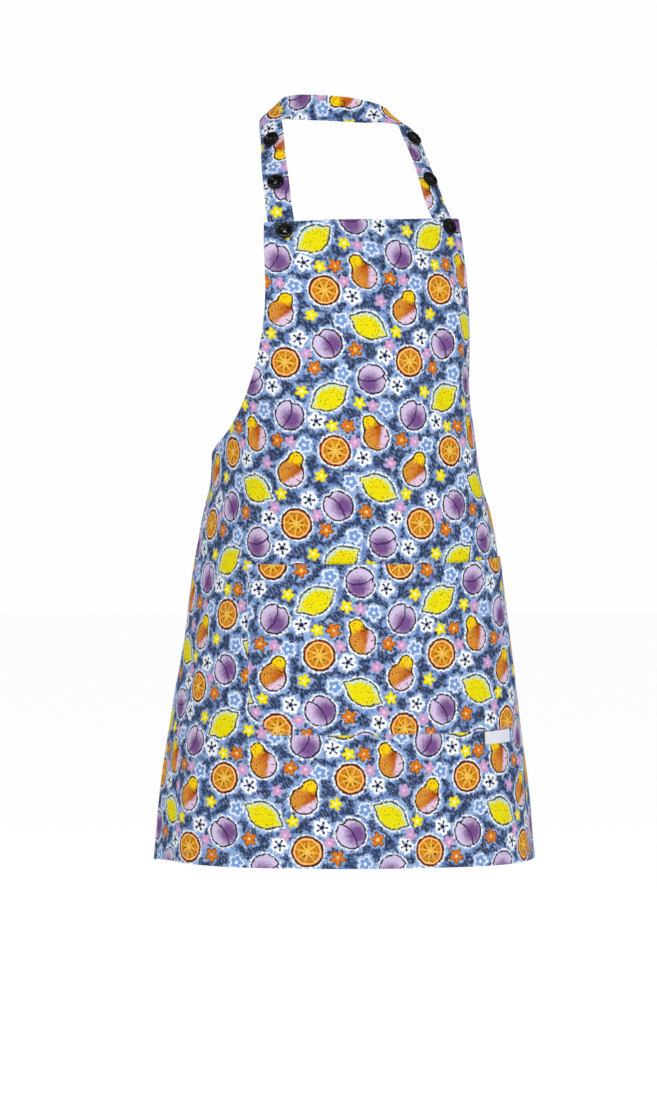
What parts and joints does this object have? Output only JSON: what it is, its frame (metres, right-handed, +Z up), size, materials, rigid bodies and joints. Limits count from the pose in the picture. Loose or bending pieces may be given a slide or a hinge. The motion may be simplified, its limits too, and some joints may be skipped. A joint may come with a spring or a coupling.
{
  "type": "short bib apron",
  "caption": "Short bib apron in printed cotton as it is worn, with a wide patch pocket, a buttoned neck strap and waist ties knotted at the back.",
  "frame": {"origin": "inner face of the neck strap at the nape, on the centre line", "axes": "+Z up, the wearer faces -Y, +X to the wearer's left"},
  "size_m": [0.4583, 0.3293, 0.9073],
  "materials": {
    "printed_cotton": "plain weave cotton with a small all-over print",
    "label_tape": "blank woven label tape",
    "button_black": "polished, dished, four holes"
  },
  "bodies": {
    "root": {"apron_panel": "printed_cotton", "front_pocket": "printed_cotton", "pocket_label": "label_tape", "neck_strap": "printed_cotton", "waist_tie_right": "printed_cotton", "waist_tie_left": "printed_cotton", "waist_knot": "printed_cotton", "button_right_1": "button_black", "button_right_2": "button_black", "button_right_3": "button_black", "button_left_1": "button_black", "button_left_2": "button_black", "button_left_3": "button_black"}
  },
  "joints": []
}
